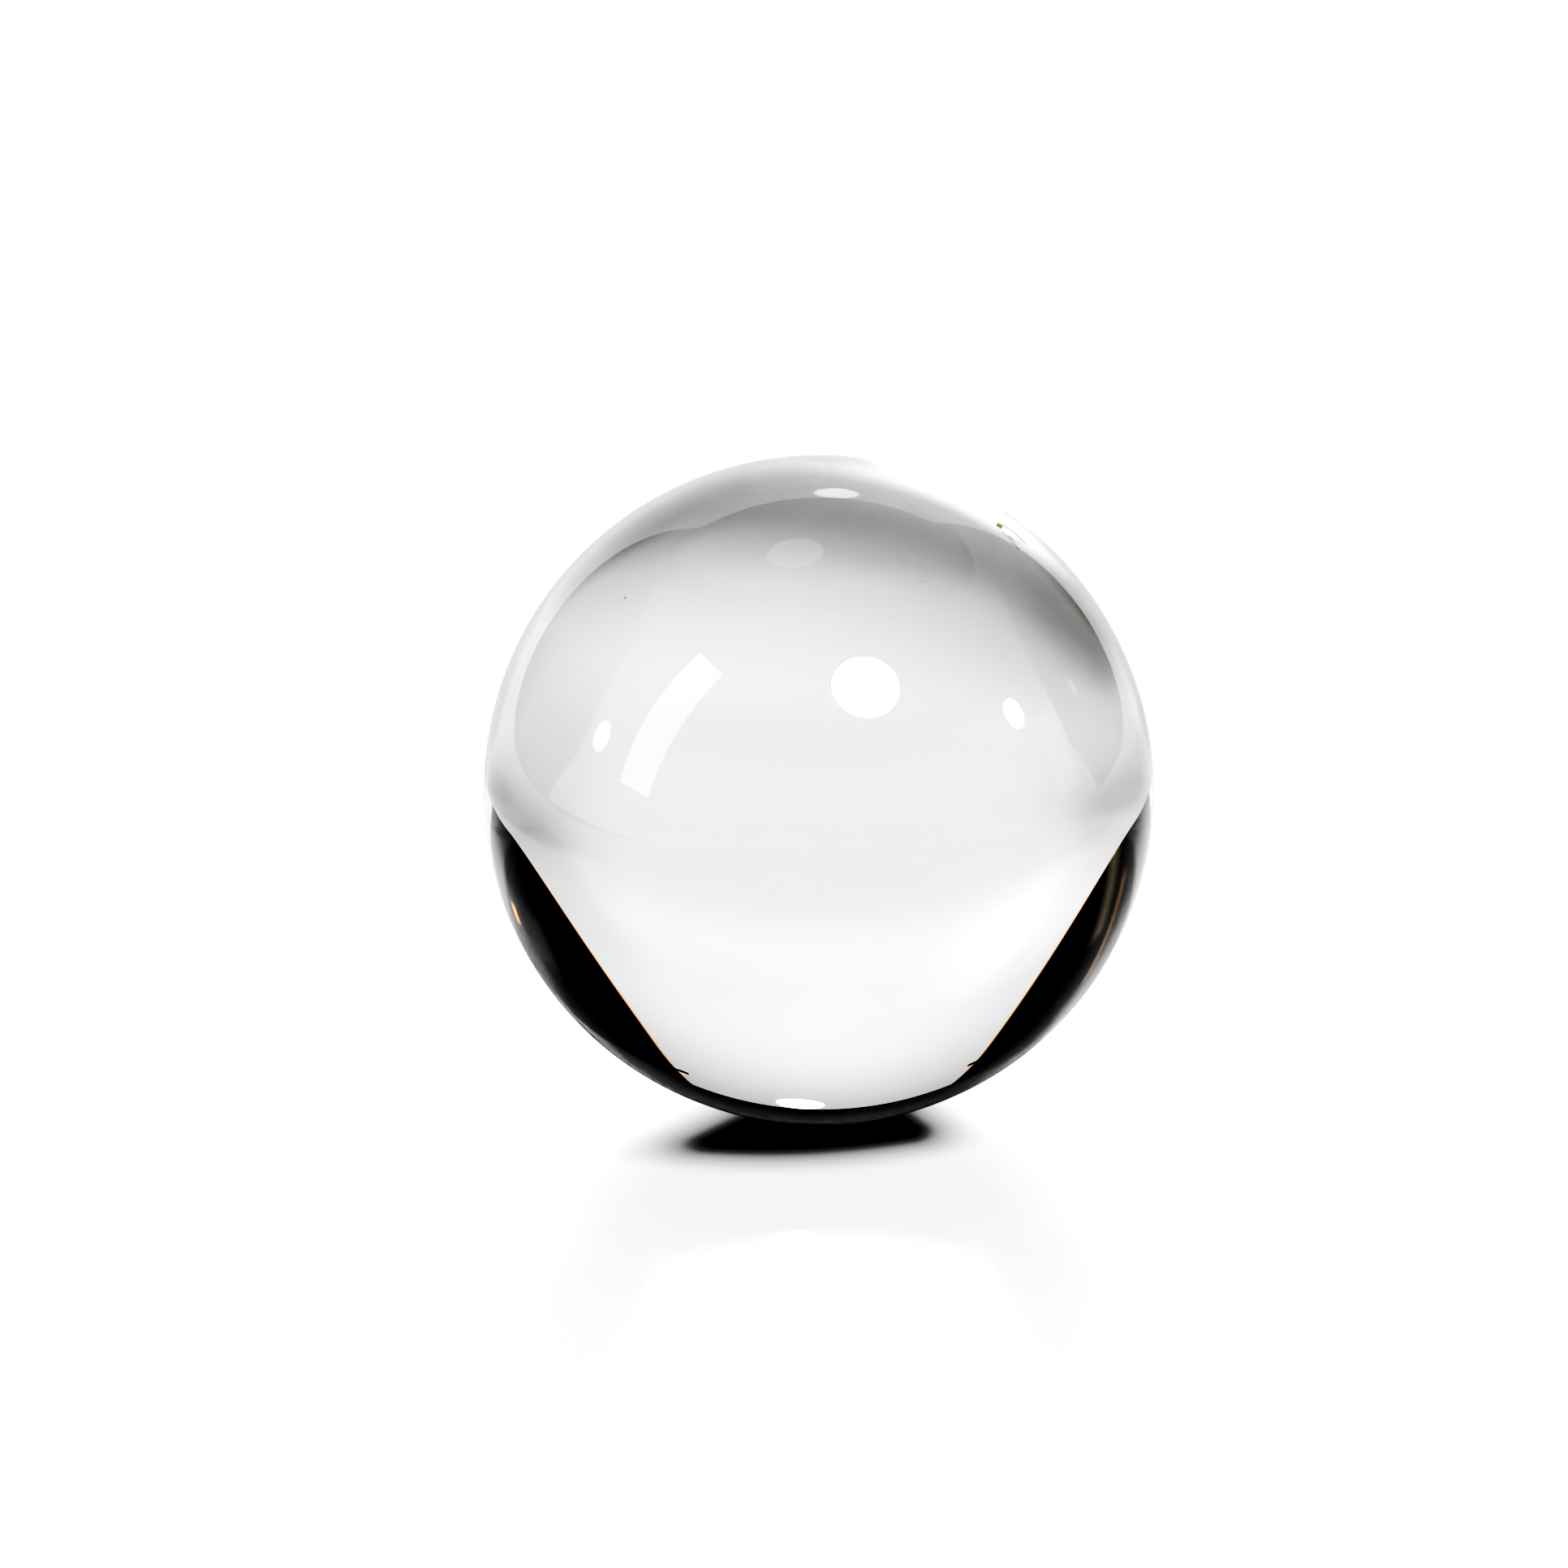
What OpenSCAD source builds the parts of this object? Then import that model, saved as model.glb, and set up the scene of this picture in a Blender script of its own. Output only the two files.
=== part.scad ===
// Crystal ball: one solid sphere of clear optical glass, ground and polished all over.
// It has no seam, cap, base or hollow, so the whole object is a single piece.
// The origin is the centre of the ball, +Z is up, and lengths are in millimetres.

/* [Ball] */
// Diameter of the ball
ball_d = 80; // [50:5:150]

/* [Hidden] */
// Clear glass with a trace of green, see-through in a preview
glass_color = [0.92, 0.96, 0.95, 0.45];
// Facets around the ball in a preview; the solid is a true sphere
ball_facets = 128;

// The glass sphere, solid right through
module ball() {
    color(glass_color) sphere(d = ball_d, $fn = ball_facets);
}

ball();
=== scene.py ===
import math

import bmesh
import bpy
from mathutils import Euler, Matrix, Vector


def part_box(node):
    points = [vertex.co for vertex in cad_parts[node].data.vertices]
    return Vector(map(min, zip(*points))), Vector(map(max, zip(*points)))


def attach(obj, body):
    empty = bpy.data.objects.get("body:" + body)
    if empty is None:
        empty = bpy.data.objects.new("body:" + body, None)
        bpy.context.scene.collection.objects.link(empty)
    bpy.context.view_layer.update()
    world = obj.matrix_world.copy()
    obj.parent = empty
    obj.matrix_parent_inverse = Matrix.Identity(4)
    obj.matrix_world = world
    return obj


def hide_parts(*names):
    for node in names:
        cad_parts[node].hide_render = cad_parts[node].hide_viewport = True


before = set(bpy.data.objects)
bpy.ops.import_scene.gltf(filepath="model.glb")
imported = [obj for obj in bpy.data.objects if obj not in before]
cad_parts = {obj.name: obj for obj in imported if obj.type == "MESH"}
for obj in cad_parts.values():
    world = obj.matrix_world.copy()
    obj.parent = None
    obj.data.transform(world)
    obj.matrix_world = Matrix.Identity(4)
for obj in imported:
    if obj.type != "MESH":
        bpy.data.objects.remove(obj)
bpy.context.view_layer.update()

# ---------------------------------------------------------------------------
# The ball, from the frame. Everything else is placed in ball radii from its centre.
# ---------------------------------------------------------------------------
BALL_LOW, BALL_HIGH = (Vector(corner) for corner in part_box("ball"))
CENTRE = (BALL_LOW + BALL_HIGH) / 2
RADIUS = (BALL_HIGH.z - BALL_LOW.z) / 2
SPHERE_CUTS = 120  # squares along each edge of the cube that is rounded into the ball
GLASS_IOR = 1.52

# The camera, at the photograph's viewing angle
VIEW_ELEVATION = 18.4  # degrees
VIEW_DISTANCE = 21.0  # ball radii
SENSOR_WIDTH = 36.0  # mm
FRAME_WIDTH = 4.685  # ball radii across the whole picture, at the ball's distance
SHIFT_RIGHT = -0.0222  # share of the frame: the ball stands a little right of the middle
SHIFT_UP = 0.0038
CLIP_START = 0.01  # metres

# The curved white sheet that the ball stands on, in ball radii
SHEET_LEFT = -9.5
SHEET_RIGHT = 11.5
SHEET_FRONT = -27.0
SHEET_FLAT_END = 6.9
SHEET_BEND_RADIUS = 12.2
SHEET_BEND_ANGLE = 1.538  # radians
SHEET_BEND_STEPS = 48
SHEET_WALL = 8.1
SHEET_TURN = 0.061  # how far the sheet is turned to the left of the camera's line, in radians

# The glass surface. Marks on it are given as start, end, bow and half-width, in radii from the centre.
# Heights are in metres, and roughness is what a mark adds to the polish.
GLASS_TINT = (0.997, 1.0, 0.998, 1.0)
LARGE_DUST = (130.0, 0.034, 0.10)  # cells per metre, speck's radius in cells, share of cells with a speck
SMALL_DUST = (420.0, 0.05, 0.05)
DUST_COLOUR = (0.35, 0.34, 0.32, 1.0)
DUST_COVER = 0.75  # how much of the glass's colour a speck hides
DUST_HEIGHT = 0.00002
DUST_ROUGHNESS = 0.5
LINT = (
    ((0.436, -0.635, -0.638), (0.500, -0.595, -0.629), 6.0, 0.008),
    ((-0.380, -0.648, -0.660), (-0.440, -0.618, -0.652), -6.0, 0.007),
)
LINT_COLOUR = (0.12, 0.006, 0.004, 1.0)
RESIDUE = ((0.548, -0.080, 0.832), (0.598, -0.112, 0.794), 0.0, 0.030)  # a dried drop
RESIDUE_EDGES = (  # its dark edges and its dark end
    ((0.535, -0.040, 0.843), (0.612, -0.070, 0.788), 4.0, 0.0045),
    ((0.537, -0.110, 0.837), (0.588, -0.157, 0.793), 0.0, 0.0030),
    ((0.526, -0.100, 0.845), (0.536, -0.050, 0.842), 0.0, 0.0130),
)
RESIDUE_COLOUR = (0.06, 0.06, 0.02, 1.0)
RESIDUE_HEIGHT = 0.00003
RESIDUE_ROUGHNESS = 0.10
SMEAR_STRETCH = (1.0, 1.0, 3.5)
SMEARS_PER_METRE = 45.0
SMEAR_ROUGHNESS = 0.004
RIPPLES_PER_METRE = 160.0
RIPPLE_HEIGHT = 0.0000002

# The room as the ball sees it. Azimuths are clockwise from +Y, and all angles are in degrees.
ROOM_LOW = 1.10  # its light behind the camera, up to the first of these elevations
ROOM_HIGH = 0.35  # and above the second
ROOM_ELEVATIONS = (15.0, 40.0)
ROOM_FLOOR = (-7.0, -6.0)  # no light comes from below this
ROOM_CEILING = 0.25  # share of that light over the sheet
CEILING_EDGE = (48.0, 62.0)  # how far aside that share ends
DARK_HALF_WIDTHS = (86.0, 79.8)  # the black area round the sheet, on its left and on its right
DARK_HEIGHTS = (43.0, 38.5)
DARK_SIDES = (-20.0, 20.0)  # azimuths between which the left size turns into the right one
DARK_FOOT = ((-6.0, 8.0), 0.88)  # elevations where it narrows, and to what share of its width
DARK_ROUNDING = 5.0  # the power that rounds its corners
DARK_EDGE = (0.94, 1.08)
WHITE_TO_CAMERA = 1.1
EQUIPMENT = (  # dim things in the black area: azimuths, elevations, soft edge, colour
    ((-54.5, -50.0), (-6.0, 14.0), 2.0, (0.20, 0.19, 0.15)),
    ((-74.0, -58.0), (-6.0, 8.0), 3.0, (0.03, 0.03, 0.03)),
    ((-60.0, -58.0), (4.0, 26.0), 1.5, (0.22, 0.15, 0.09)),
    ((-26.0, -23.5), (38.8, 40.8), 0.8, (0.6, 0.6, 0.6)),
    ((50.0, 58.0), (10.0, 20.0), 2.5, (0.08, 0.08, 0.08)),
    ((58.0, 72.0), (8.0, 26.0), 3.0, (0.05, 0.05, 0.05)),
    ((64.5, 67.0), (12.5, 16.0), 0.8, (2.2, 0.9, 0.25)),
    ((80.5, 91.0), (-2.0, 19.0), 1.5, (0.5, 0.5, 0.5)),
)

# Painted light and shade on the sheet, in ball radii from the ball's centre
POOLS = (  # painted pools of light, where the ball gathers light on the sheet: centre, half-width, half-depth, strength
    ((-0.3, 2.05), 1.5, 0.62, 0.06),
    ((-0.36, 1.02), 0.46, 0.26, 0.55),
)
POOL_EDGE = (1.0, 0.4)
BELOW = (0.0, 0.12)  # the middle of a painted pool of light right under the ball, where the ball lights and magnifies the sheet
BELOW_EDGE = (0.32, 0.20)
BELOW_STRENGTH = 0.45
BEND_FILL = ((3.5, 11.0), 0.12)  # painted light added from flat to bend, and half of it taken away up the wall
WALL_FILL = ((-0.5, 1.2), -0.06)
LEFT_FILL = 0.17  # painted light added at the left of the bend
LEFT_FILL_ACROSS = (-1.5, -6.0)
LEFT_FILL_BACK = (3.2, 5.0)
LEFT_FILL_UP = (4.0, 0.0)
HOT_SPOT = (1.3, 19.2, 16.8)  # a painted highlight: the image of a lamp near the wall's top
HOT_SPOT_SCALE = (0.55, 0.0, 0.44)
HOT_SPOT_EDGE = (1.0, 0.8)
HOT_SPOT_STRENGTH = 3.0
HOT_SPOT_START = 17.0
SHEET_WHITE = 0.88
SHEET_WHITE_HIGH = 0.78  # high on the wall, darker: painted shade
WHITE_HEIGHTS = (2.0, 17.0)
SHADES = (  # painted soft shadows: centre, half-width, half-depth, share of full depth, light left
    ((-0.2, -0.1), 1.30, 0.70, 0.75, 0.52),
    ((-0.8, 1.52), 0.60, 0.42, 0.40, 0.77),
    ((-0.85, 1.18), 0.40, 0.22, 0.40, 0.68),
    ((0.22, 1.26), 0.34, 0.32, 0.50, 0.84),
    ((-0.10, 1.60), 0.33, 0.26, 0.40, 0.85),
    ((0.45, 1.15), 0.50, 0.26, 0.40, 0.74),
    ((6.0, 2.5), 4.30, 1.40, 0.45, 0.72),
    ((5.4, 4.1), 4.00, 2.20, 0.35, 0.70),
    ((-5.5, 1.9), 3.90, 1.20, 0.45, 0.82),
    ((-3.4, 3.1), 2.60, 1.00, 0.40, 0.84),
)
SHADE_END = 1.1
CAST_SHADOWS = (  # painted shadows of the ball, where the side lamps would cast them: centre, half-length, half-width, turn in radians
    ((-2.65, 0.25), 2.85, 1.20, -0.14),
    ((2.45, 0.35), 2.65, 1.20, 0.20),
)
CAST_EDGE = (0.85, 1.1)
CAST_LIGHT = 0.55  # the light left in them
# The painted contact shadow before the ball. Its sides: widening per radius ahead, start, softness
CONTACT_LEFT = (0.72, 0.21, 0.18)
CONTACT_RIGHT = (0.42, 0.28, 0.14)
CONTACT_FRONT = (0.46, 0.50, 0.16, 0.16)  # reach ahead, bow, its middle's place to the left, softness
CONTACT_BACK = (-0.05, 0.05)
CONTACT_SPREAD = (0.18, 0.15)  # how much wider and longer it is to the glass than to the camera
CONTACT_POINT = (0.38, 0.20)  # a painted shadow: the dark spot that the camera sees round the point of contact
SHEET_ROUGHNESS = 0.35
SHEET_IOR = 1.49
MIRROR_ROUGHNESS = 0.18  # of the sheet as the camera sees it
SEEN_CENTRE = (0.0, -0.1)
SEEN_EDGE = (0.6, 2.0)
SEEN_WHITE = (0.885, 0.975)  # near the ball, and away from it
# A painted warm glow along the sheet's sides, which stands in for the colours that glass spreads light into
FRINGE_START = 2.0  # ball radii behind the ball's centre
FRINGE = 0.22  # ball radii: how far the painted warm glow at the sheet's sides reaches
FRINGE_COLOUR = (1.0, 0.62, 0.36, 1.0)
FRINGE_STRENGTH = 0.75

# The lamps: name, azimuth, elevation, distance in ball radii, width, height, radiance, roll in degrees, round
LAMPS = (
    ("key_dish", 156, 51.2, 25, 21.6, 21.0, 21.0, 0, True),
    ("strip_box", -116.6, 29.5, 25, 13.0, 43.5, 2.5, -6, False),
    ("left_strobe", -94.9, 16.1, 25, 6.6, 8.4, 3.6, 0, True),
    ("right_strobe", 99.2, 24.7, 25, 7.6, 8.6, 4.5, 0, True),
    ("top_lamp", -19.7, 73.0, 30, 13.6, 13.6, 1.1, 0, True),
)

# How bright each level of light is shown: dark greys sink to black, and light greys stay as they are
TONE_CURVE = (
    (0.18, 0.0), (0.25, 0.01), (0.30, 0.03), (0.37, 0.16), (0.45, 0.35), (0.60, 0.58), (0.8, 0.8),
)
TONE_LIMIT = 4.0


def toward(azimuth, elevation):
    """The direction at an azimuth clockwise from straight ahead (+Y) and an elevation, both in degrees."""
    a, e = math.radians(azimuth), math.radians(elevation)
    return Vector((math.cos(e) * math.sin(a), math.cos(e) * math.cos(a), math.sin(e)))


# ---------------------------------------------------------------------------
# Node helpers
# ---------------------------------------------------------------------------
def add_node(tree, kind, inputs=None, **settings):
    """A new node with its settings made and its inputs set, or linked where a socket is given."""
    node = tree.nodes.new(kind)
    for name, value in settings.items():
        setattr(node, name, value)
    for name, value in (inputs or {}).items():
        if isinstance(value, bpy.types.NodeSocket):
            tree.links.new(value, node.inputs[name])
        else:
            node.inputs[name].default_value = value
    return node


def maths(tree, operation, first, second=0.0, third=0.0, clamp=False):
    """The output of a Math node."""
    inputs = {0: first, 1: second, 2: third}
    return add_node(tree, "ShaderNodeMath", inputs, operation=operation, use_clamp=clamp).outputs[0]


def ramp(tree, value, low, high, to_low=0.0, to_high=1.0, smooth=True):
    """value mapped from low..high onto to_low..to_high, and held there outside it."""
    inputs = {"Value": value, "From Min": low, "From Max": high, "To Min": to_low, "To Max": to_high}
    interpolation = "SMOOTHSTEP" if smooth else "LINEAR"
    return add_node(tree, "ShaderNodeMapRange", inputs, interpolation_type=interpolation).outputs[0]


def product(tree, *values):
    """The product of two or more values."""
    result = values[0]
    for value in values[1:]:
        result = maths(tree, "MULTIPLY", result, value)
    return result


def total_of(tree, *values):
    """The sum of two or more values."""
    result = values[0]
    for value in values[1:]:
        result = maths(tree, "ADD", result, value)
    return result


def part_of(tree, vector, axis):
    """One part of a vector, "X", "Y" or "Z"."""
    return add_node(tree, "ShaderNodeSeparateXYZ", {0: vector}).outputs[axis]


def vector_maths(tree, operation, first, second=(0.0, 0.0, 0.0)):
    """A Vector Math node."""
    return add_node(tree, "ShaderNodeVectorMath", {0: first, 1: second}, operation=operation)


def scaled_vector(tree, vector, scale):
    """A vector times a number."""
    node = add_node(tree, "ShaderNodeVectorMath", {0: vector, "Scale": scale}, operation="SCALE")
    return node.outputs[0]


def coloured(tree, share, below, colour):
    """The colour below, or the given colour where the share is 1."""
    mix = add_node(tree, "ShaderNodeMix", {"Factor": share}, data_type="RGBA")
    if isinstance(below, bpy.types.NodeSocket):
        tree.links.new(below, mix.inputs[6])
    else:
        mix.inputs[6].default_value = below
    mix.inputs[7].default_value = colour
    return mix.outputs[2]


def new_material(name):
    """A material with an empty node tree and its output node."""
    material = bpy.data.materials.new(name)
    material.use_nodes = True
    material.node_tree.nodes.clear()
    output = material.node_tree.nodes.new("ShaderNodeOutputMaterial")
    return material, material.node_tree, output


# ---------------------------------------------------------------------------
# The glass
# ---------------------------------------------------------------------------
def specks(tree, place, per_metre, size, share):
    """Dust: a round speck in a share of the cells of an irregular grid, 1 in a speck and 0 between them."""
    cells = add_node(tree, "ShaderNodeTexVoronoi", {"Vector": place, "Scale": per_metre})
    near = ramp(tree, cells.outputs["Distance"], size, size * 0.6)
    kept = maths(tree, "LESS_THAN", part_of(tree, cells.outputs["Color"], "X"), share)
    return product(tree, near, kept)


def fibre(tree, direction, start, end, bow, width):
    """1 on a thin bent line that lies between two points of the ball's surface."""
    start, end = Vector(start), Vector(end)
    middle = (start + end) / 2
    along = end - start
    length = along.length
    along.normalize()
    across = along.cross((start + end).normalized())
    shift = vector_maths(tree, "SUBTRACT", direction, middle).outputs[0]
    run = vector_maths(tree, "DOT_PRODUCT", shift, along).outputs["Value"]
    side = vector_maths(tree, "DOT_PRODUCT", shift, across).outputs["Value"]
    curve = product(tree, run, run, bow)
    off = maths(tree, "ABSOLUTE", maths(tree, "SUBTRACT", side, curve))
    within = ramp(tree, maths(tree, "ABSOLUTE", run), length / 2, length / 2 - width)
    near = ramp(tree, off, width, width * 0.5)
    facing = vector_maths(tree, "DOT_PRODUCT", direction, middle).outputs["Value"]
    same_side = maths(tree, "GREATER_THAN", facing, 0.5)
    return product(tree, within, near, same_side)


def fibres(tree, direction, lines):
    """1 on any of several thin bent lines."""
    covered = 0.0
    for line in lines:
        covered = maths(tree, "MAXIMUM", covered, fibre(tree, direction, *line))
    return covered


def glass_material():
    """Clear polished glass with a little dust and lint, faint wiping marks and one dried drop."""
    material, tree, output = new_material("clear_glass")
    place = add_node(tree, "ShaderNodeTexCoord").outputs["Object"]
    offset = vector_maths(tree, "SUBTRACT", place, CENTRE).outputs[0]
    direction = vector_maths(tree, "NORMALIZE", offset).outputs[0]

    # Dust, lint and the drop's dark edges shade the glass
    dust = maths(tree, "MAXIMUM", specks(tree, place, *LARGE_DUST), specks(tree, place, *SMALL_DUST))
    lint = fibres(tree, direction, LINT)
    residue = fibre(tree, direction, *RESIDUE)
    colour = coloured(tree, product(tree, dust, DUST_COVER), GLASS_TINT, DUST_COLOUR)
    colour = coloured(tree, lint, colour, LINT_COLOUR)
    colour = coloured(tree, fibres(tree, direction, RESIDUE_EDGES), colour, RESIDUE_COLOUR)

    # Wiping marks: long soft streaks that are hardly rougher than the polish
    stretch = add_node(tree, "ShaderNodeMapping", {"Vector": place, "Scale": SMEAR_STRETCH})
    smears = add_node(tree, "ShaderNodeTexNoise", {
        "Vector": stretch.outputs[0],
        "Scale": SMEARS_PER_METRE,
        "Detail": 2.0,
    })
    marks = ramp(tree, smears.outputs["Fac"], 0.50, 0.75, 0.0, SMEAR_ROUGHNESS)
    loose = maths(tree, "MAXIMUM", dust, lint)
    rough = total_of(
        tree,
        marks,
        product(tree, loose, DUST_ROUGHNESS),
        product(tree, residue, RESIDUE_ROUGHNESS),
    )

    # Relief: the finest ripples of the polish, the drop, the dust and the lint
    ripples = add_node(tree, "ShaderNodeTexNoise", {
        "Vector": place,
        "Scale": RIPPLES_PER_METRE,
        "Detail": 1.0,
    })
    height = total_of(
        tree,
        product(tree, ripples.outputs["Fac"], RIPPLE_HEIGHT),
        product(tree, residue, RESIDUE_HEIGHT),
        product(tree, loose, DUST_HEIGHT),
    )
    relief = add_node(tree, "ShaderNodeBump", {"Height": height, "Distance": 1.0})

    shader = add_node(tree, "ShaderNodeBsdfPrincipled", {
        "Base Color": colour,
        "Roughness": rough,
        "Normal": relief.outputs[0],
        "Transmission Weight": 1.0,
        "IOR": GLASS_IOR,
    })
    tree.links.new(shader.outputs[0], output.inputs["Surface"])
    return material


def rounded_cube(name, centre, radius, cuts):
    """A sphere of evenly sized squares: a cube's grid, spread by angle and pushed out to the radius."""
    mesh_data = bmesh.new()
    bmesh.ops.create_cube(mesh_data, size=2.0)
    bmesh.ops.subdivide_edges(mesh_data, edges=mesh_data.edges[:], cuts=cuts - 1, use_grid_fill=True)
    for vertex in mesh_data.verts:
        spread = Vector(math.tan(part * math.pi / 4) for part in vertex.co)
        vertex.co = centre + radius * spread.normalized()
    for face in mesh_data.faces:
        face.smooth = True
    mesh = bpy.data.meshes.new(name)
    mesh_data.to_mesh(mesh)
    mesh_data.free()
    piece = bpy.data.objects.new(name, mesh)
    bpy.context.collection.objects.link(piece)
    return piece


def make_ball():
    """The glass ball, which stands for the CAD ball."""
    ball = rounded_cube("glass_ball", CENTRE, RADIUS, SPHERE_CUTS)
    ball.data.materials.append(glass_material())
    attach(ball, "root")
    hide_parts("ball")


# ---------------------------------------------------------------------------
# The stage
# ---------------------------------------------------------------------------
def oval(tree, place, centre, half_width, half_depth, turn=0.0):
    """How far a place on the floor is from an oval's centre, as a share of the way to its edge."""
    shift = vector_maths(tree, "SUBTRACT", place, (*centre, 0.0)).outputs[0]
    turned = add_node(tree, "ShaderNodeVectorRotate", {
        "Vector": shift,
        "Angle": -turn,
    }, rotation_type="Z_AXIS")
    scale = (1 / half_width, 1 / half_depth, 0.0)
    scaled = vector_maths(tree, "MULTIPLY", turned.outputs[0], scale).outputs[0]
    return vector_maths(tree, "LENGTH", scaled).outputs["Value"]


def contact_shadow(tree, place, wider=0.0, longer=0.0):
    """1 in a painted shadow before the ball, which widens towards the camera."""
    x, y = part_of(tree, place, "X"), part_of(tree, place, "Y")
    ahead = maths(tree, "MULTIPLY", y, -1.0)
    widening, start, left_soft = CONTACT_LEFT
    left_edge = maths(tree, "MULTIPLY_ADD", ahead, -widening, -start - wider)
    widening, start, right_soft = CONTACT_RIGHT
    right_edge = maths(tree, "MULTIPLY_ADD", ahead, widening, start + wider)
    reach, bow, middle, front_soft = CONTACT_FRONT
    from_middle = maths(tree, "ADD", x, middle)
    front_edge = maths(tree, "MULTIPLY_ADD", product(tree, from_middle, from_middle), -bow, reach + longer)
    return product(
        tree,
        ramp(tree, maths(tree, "SUBTRACT", x, left_edge), -left_soft, left_soft),
        ramp(tree, maths(tree, "SUBTRACT", right_edge, x), -right_soft, right_soft),
        ramp(tree, maths(tree, "SUBTRACT", front_edge, ahead), -front_soft, front_soft),
        ramp(tree, ahead, *CONTACT_BACK),
    )


def painted_glow(tree, place):
    """The strength of the sheet's painted glow: painted pools of light where the ball gathers light, painted
    fill light from the lamps and the room, and a painted highlight of a lamp.
    """
    x, y, height = (part_of(tree, place, axis) for axis in "XYZ")
    pools = [ramp(tree, oval(tree, place, *pool[:3]), *POOL_EDGE, 0.0, pool[3]) for pool in POOLS]
    (bend, bend_fill), (wall, wall_fill) = BEND_FILL, WALL_FILL
    left = product(
        tree,
        ramp(tree, x, *LEFT_FILL_ACROSS, 0.0, LEFT_FILL),
        ramp(tree, y, *LEFT_FILL_BACK),
        ramp(tree, height, *LEFT_FILL_UP),
    )
    hot_place = vector_maths(tree, "SUBTRACT", place, HOT_SPOT).outputs[0]
    hot_scaled = vector_maths(tree, "MULTIPLY", hot_place, HOT_SPOT_SCALE).outputs[0]
    hot_reach = vector_maths(tree, "LENGTH", hot_scaled).outputs["Value"]
    return total_of(
        tree,
        *pools,
        ramp(tree, y, *bend, 0.0, bend_fill, smooth=False),
        ramp(tree, height, *wall, 0.0, wall_fill, smooth=False),
        left,
        ramp(tree, oval(tree, place, BELOW, 1.0, 1.0), *BELOW_EDGE, 0.0, BELOW_STRENGTH),
        product(tree, ramp(tree, hot_reach, *HOT_SPOT_EDGE, 0.0, HOT_SPOT_STRENGTH),
                maths(tree, "GREATER_THAN", y, HOT_SPOT_START)),
    )


def shaded_white(tree, place):
    """The sheet's white, darker high on the wall, with painted soft shadows round the ball, a deep painted
    one before it, and none right under it.
    """
    white = ramp(tree, part_of(tree, place, "Z"), *WHITE_HEIGHTS, SHEET_WHITE, SHEET_WHITE_HIGH)
    for centre, half_width, half_depth, reach, shade in SHADES:
        gap = oval(tree, place, centre, half_width, half_depth)
        white = product(tree, white, ramp(tree, gap, reach, SHADE_END, shade, 1.0))
    for centre, half_length, half_width, turn in CAST_SHADOWS:
        gap = oval(tree, place, centre, half_length, half_width, turn)
        white = product(tree, white, ramp(tree, gap, *CAST_EDGE, CAST_LIGHT, 1.0))
    deep = contact_shadow(tree, place, *CONTACT_SPREAD)
    below = ramp(tree, oval(tree, place, BELOW, 1.0, 1.0), *BELOW_EDGE, 0.0, SHEET_WHITE)
    return maths(tree, "MAXIMUM", product(tree, white, maths(tree, "SUBTRACT", 1.0, deep)), below)


def seen_white(tree, place):
    """The sheet to the camera: a white glow, as bright as its mirror images let it be, and black in a painted
    contact shadow.
    """
    white = ramp(tree, oval(tree, place, SEEN_CENTRE, 1.0, 1.0), *SEEN_EDGE, *SEEN_WHITE)
    contact = ramp(tree, oval(tree, place, (0.0, 0.0), 1.0, 1.0), *CONTACT_POINT)
    covered = maths(tree, "MAXIMUM", contact_shadow(tree, place), contact)
    return product(tree, maths(tree, "SUBTRACT", 1.0, covered), white)


def sheet_material():
    """Glossy white acrylic: a lit one, with painted shadows and a painted glow, for rays that meet the ball,
    and to the camera a white glow with a painted contact shadow.
    """
    material, tree, output = new_material("white_acrylic")
    geometry = add_node(tree, "ShaderNodeNewGeometry")
    offset = vector_maths(tree, "SUBTRACT", geometry.outputs["Position"], CENTRE).outputs[0]
    place = scaled_vector(tree, offset, 1 / RADIUS)
    # Lit by the lamps, with painted shadows in its colour and a painted glow in its emission
    lit = add_node(tree, "ShaderNodeBsdfPrincipled", {
        "Base Color": shaded_white(tree, place),
        "Roughness": SHEET_ROUGHNESS,
        "IOR": SHEET_IOR,
        "Emission Color": (1.0, 1.0, 1.0, 1.0),
        "Emission Strength": painted_glow(tree, place),
    })
    # A white glow with a painted contact shadow, under a mirror gloss
    seen = add_node(tree, "ShaderNodeBsdfPrincipled", {
        "Base Color": (0.0, 0.0, 0.0, 1.0),
        "Roughness": MIRROR_ROUGHNESS,
        "IOR": SHEET_IOR,
        "Emission Color": (1.0, 1.0, 1.0, 1.0),
        "Emission Strength": seen_white(tree, place),
    })
    # A camera behind the sheet looks through it
    see_through = add_node(tree, "ShaderNodeBsdfTransparent")
    camera_ray = add_node(tree, "ShaderNodeLightPath").outputs["Is Camera Ray"]
    front = add_node(tree, "ShaderNodeMixShader", {0: camera_ray, 1: lit.outputs[0], 2: seen.outputs[0]})
    hidden = product(tree, geometry.outputs["Backfacing"], camera_ray)
    mix = add_node(tree, "ShaderNodeMixShader", {0: hidden, 1: front.outputs[0], 2: see_through.outputs[0]})
    tree.links.new(mix.outputs[0], output.inputs["Surface"])
    return material


def sheet_profile():
    """The sheet's outline from the side, as (y, z) in ball radii: flat, then an arc, then straight up."""
    outline = [(SHEET_FRONT, -1.0), (FRINGE_START, -1.0)]
    for step in range(SHEET_BEND_STEPS + 1):
        angle = SHEET_BEND_ANGLE * step / SHEET_BEND_STEPS
        outline.append((
            SHEET_FLAT_END + SHEET_BEND_RADIUS * math.sin(angle),
            SHEET_BEND_RADIUS * (1 - math.cos(angle)) - 1.0,
        ))
    y, z = outline[-1]
    outline.append((
        y + SHEET_WALL * math.cos(SHEET_BEND_ANGLE),
        z + SHEET_WALL * math.sin(SHEET_BEND_ANGLE),
    ))
    return outline


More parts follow.
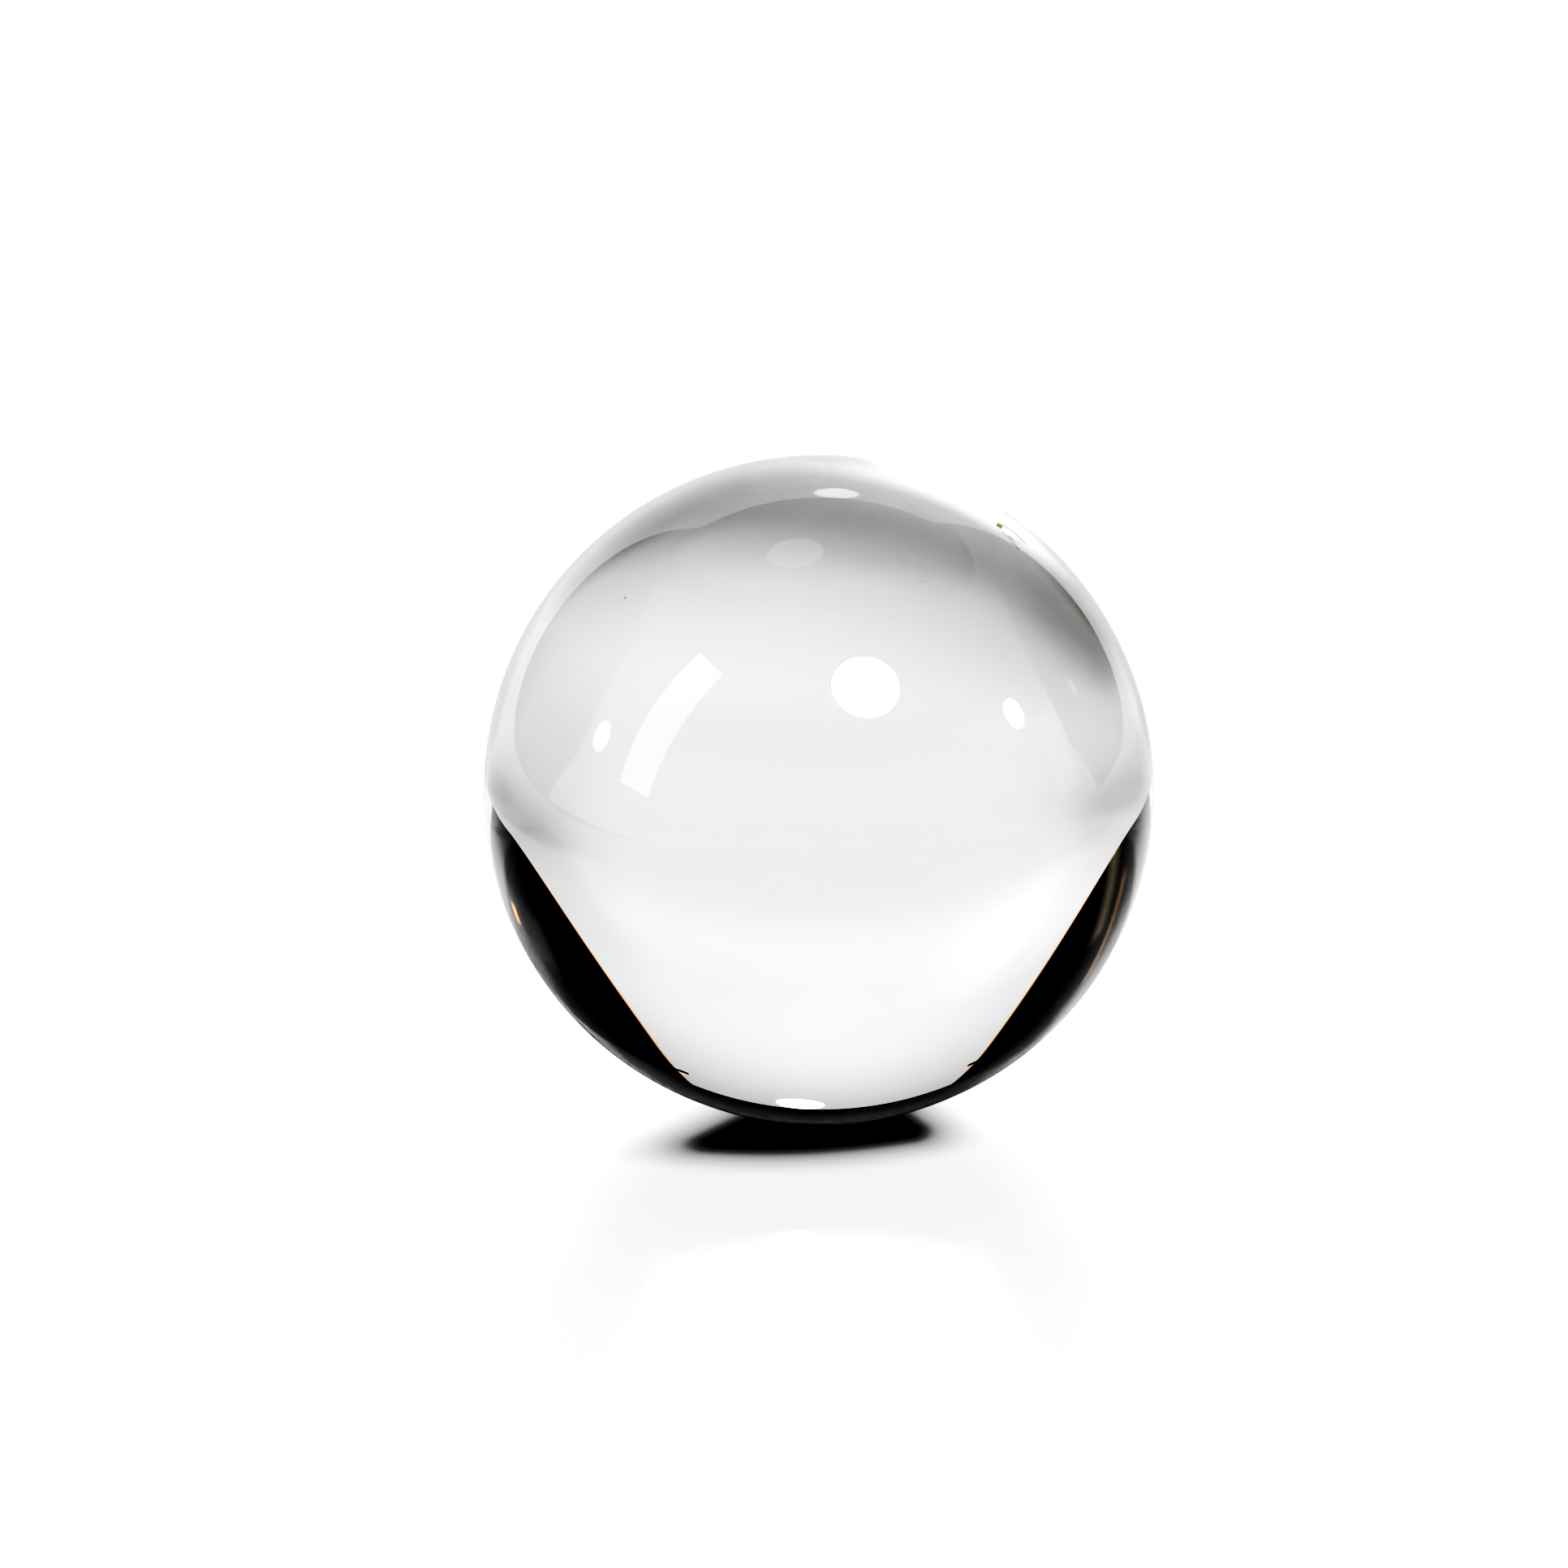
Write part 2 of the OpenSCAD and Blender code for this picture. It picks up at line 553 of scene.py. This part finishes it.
def painted_fringe_material():
    """A dim painted warm glow along the sheet's edges, which stands in for the colours that real glass
    spreads light into there.
    """
    material, tree, output = new_material("painted_fringe_glow")
    glow = add_node(tree, "ShaderNodeEmission", {"Color": FRINGE_COLOUR, "Strength": FRINGE_STRENGTH})
    clear = add_node(tree, "ShaderNodeBsdfTransparent")
    camera_ray = add_node(tree, "ShaderNodeLightPath").outputs["Is Camera Ray"]
    mix = add_node(tree, "ShaderNodeMixShader", {0: camera_ray, 1: glow.outputs[0], 2: clear.outputs[0]})
    tree.links.new(mix.outputs[0], output.inputs["Surface"])
    return material


def make_sheet():
    """The sheet, with a narrow strip of painted warm glow along each side behind the ball."""
    mesh_data = bmesh.new()
    turn = Euler((0, 0, SHEET_TURN))
    columns = (SHEET_LEFT - FRINGE, SHEET_LEFT, SHEET_RIGHT, SHEET_RIGHT + FRINGE)
    rows = []
    for y, z in sheet_profile():
        row = []
        for x in columns:
            point = Vector((x, y, z))
            point.rotate(turn)
            row.append(mesh_data.verts.new(CENTRE + RADIUS * point))
        rows.append(row)
    for number, (near, far) in enumerate(zip(rows, rows[1:])):
        for column in range(3):
            at_edge = column != 1
            if at_edge and number == 0:
                continue
            face = mesh_data.faces.new((near[column], near[column + 1], far[column + 1], far[column]))
            face.smooth = True
            face.material_index = 1 if at_edge else 0
    mesh = bpy.data.meshes.new("sheet")
    mesh_data.to_mesh(mesh)
    mesh_data.free()
    mesh.materials.append(sheet_material())
    mesh.materials.append(painted_fringe_material())
    sheet = bpy.data.objects.new("sheet", mesh)
    bpy.context.collection.objects.link(sheet)


def patch(tree, azimuth, elevation, azimuths, elevations, soft, colour):
    """The colour of a soft-edged rectangle in the room, between two azimuths and two elevations."""
    inside = product(
        tree,
        ramp(tree, azimuth, azimuths[0] - soft, azimuths[0] + soft),
        ramp(tree, azimuth, azimuths[1] + soft, azimuths[1] - soft),
        ramp(tree, elevation, elevations[0] - soft, elevations[0] + soft),
        ramp(tree, elevation, elevations[1] + soft, elevations[1] - soft),
    )
    return scaled_vector(tree, colour, inside)


def room_light(tree, azimuth, elevation):
    """The dim room's light, which is black round the sheet, in a shape with rounded upper corners."""
    aside = maths(tree, "ABSOLUTE", azimuth)
    foot, narrowed = DARK_FOOT
    half_width = product(tree, ramp(tree, azimuth, *DARK_SIDES, *DARK_HALF_WIDTHS),
                         ramp(tree, elevation, *foot, narrowed, 1.0, smooth=False))
    across = maths(tree, "DIVIDE", aside, half_width)
    up = maths(tree, "DIVIDE", maths(tree, "MAXIMUM", elevation, 0.0),
               ramp(tree, azimuth, *DARK_SIDES, *DARK_HEIGHTS))
    corner = total_of(tree, *(maths(tree, "POWER", way, DARK_ROUNDING) for way in (across, up)))
    return product(
        tree,
        ramp(tree, elevation, *ROOM_ELEVATIONS, ROOM_LOW, ROOM_HIGH),
        ramp(tree, elevation, *ROOM_FLOOR),
        ramp(tree, corner, *DARK_EDGE),
        ramp(tree, aside, *CEILING_EDGE, ROOM_CEILING, 1.0),
    )


def make_world():
    """White to the camera, and to the glass a dim room that is black at both sides of the sheet."""
    world = bpy.data.worlds.new("studio")
    bpy.context.scene.world = world
    world.use_nodes = True
    tree = world.node_tree
    tree.nodes.clear()
    output = tree.nodes.new("ShaderNodeOutputWorld")
    direction = add_node(tree, "ShaderNodeTexCoord").outputs["Generated"]
    x, y, z = (part_of(tree, direction, axis) for axis in "XYZ")
    azimuth = maths(tree, "DEGREES", maths(tree, "ARCTAN2", x, y))
    elevation = maths(tree, "DEGREES", maths(tree, "ARCSINE", z))
    camera_ray = add_node(tree, "ShaderNodeLightPath").outputs["Is Camera Ray"]
    white = product(tree, camera_ray, WHITE_TO_CAMERA)
    room = maths(tree, "MAXIMUM", room_light(tree, azimuth, elevation), white)
    light = add_node(tree, "ShaderNodeCombineXYZ", {0: room, 1: room, 2: room}).outputs[0]
    for azimuths, elevations, soft, colour in EQUIPMENT:
        area = patch(tree, azimuth, elevation, azimuths, elevations, soft, colour)
        light = vector_maths(tree, "ADD", light, area).outputs[0]
    background = add_node(tree, "ShaderNodeBackground", {"Color": light})
    tree.links.new(background.outputs[0], output.inputs["Surface"])


def make_lamp(name, azimuth, elevation, distance, width, height, radiance, roll, round_lamp):
    """An area lamp facing the ball. Width and height are in degrees as the ball sees them."""
    data = bpy.data.lights.new(name, "AREA")
    data.shape = "ELLIPSE" if round_lamp else "RECTANGLE"
    data.size = 2 * distance * RADIUS * math.tan(math.radians(width / 2))
    data.size_y = 2 * distance * RADIUS * math.tan(math.radians(height / 2))
    area = data.size * data.size_y * (math.pi / 4 if round_lamp else 1.0)
    data.energy = radiance * math.pi * area
    lamp = bpy.data.objects.new(name, data)
    bpy.context.collection.objects.link(lamp)
    direction = toward(azimuth, elevation)
    lamp.location = CENTRE + distance * RADIUS * direction
    turned = direction.to_track_quat("Z", "Y").to_matrix()
    lamp.rotation_euler = (turned @ Euler((0, 0, math.radians(roll))).to_matrix()).to_euler()
    lamp.visible_camera = False


def make_camera():
    """The camera, at the photograph's viewing angle."""
    data = bpy.data.cameras.new("camera")
    data.sensor_width = SENSOR_WIDTH
    data.lens = VIEW_DISTANCE / FRAME_WIDTH * SENSOR_WIDTH
    data.shift_x = SHIFT_RIGHT
    data.shift_y = SHIFT_UP
    data.clip_start = CLIP_START
    camera = bpy.data.objects.new("camera", data)
    bpy.context.collection.objects.link(camera)
    direction = toward(180, VIEW_ELEVATION)
    camera.location = CENTRE + VIEW_DISTANCE * RADIUS * direction
    camera.rotation_euler = direction.to_track_quat("Z", "Y").to_euler()
    bpy.context.scene.camera = camera


def set_look():
    """High contrast with deep blacks, and enough bounces for light to pass through the ball."""
    scene = bpy.context.scene
    scene.view_settings.view_transform = "Standard"
    scene.view_settings.look = "None"
    scene.view_settings.use_curve_mapping = True
    mapping = scene.view_settings.curve_mapping
    mapping.extend = "EXTRAPOLATED"
    mapping.clip_max_x = TONE_LIMIT
    mapping.clip_max_y = TONE_LIMIT
    tone = mapping.curves[3]  # the curve for all three colours together
    for level, shown in TONE_CURVE:
        tone.points.new(level, shown)
    mapping.update()
    scene.cycles.max_bounces = 16
    scene.cycles.transmission_bounces = 16
    scene.cycles.glossy_bounces = 8
    scene.cycles.diffuse_bounces = 4
    scene.cycles.blur_glossy = 0.2
    scene.cycles.sample_clamp_indirect = 4.0
    scene.cycles.use_denoising = True


make_camera()
make_ball()
make_sheet()
make_world()
for lamp in LAMPS:
    make_lamp(*lamp)
set_look()
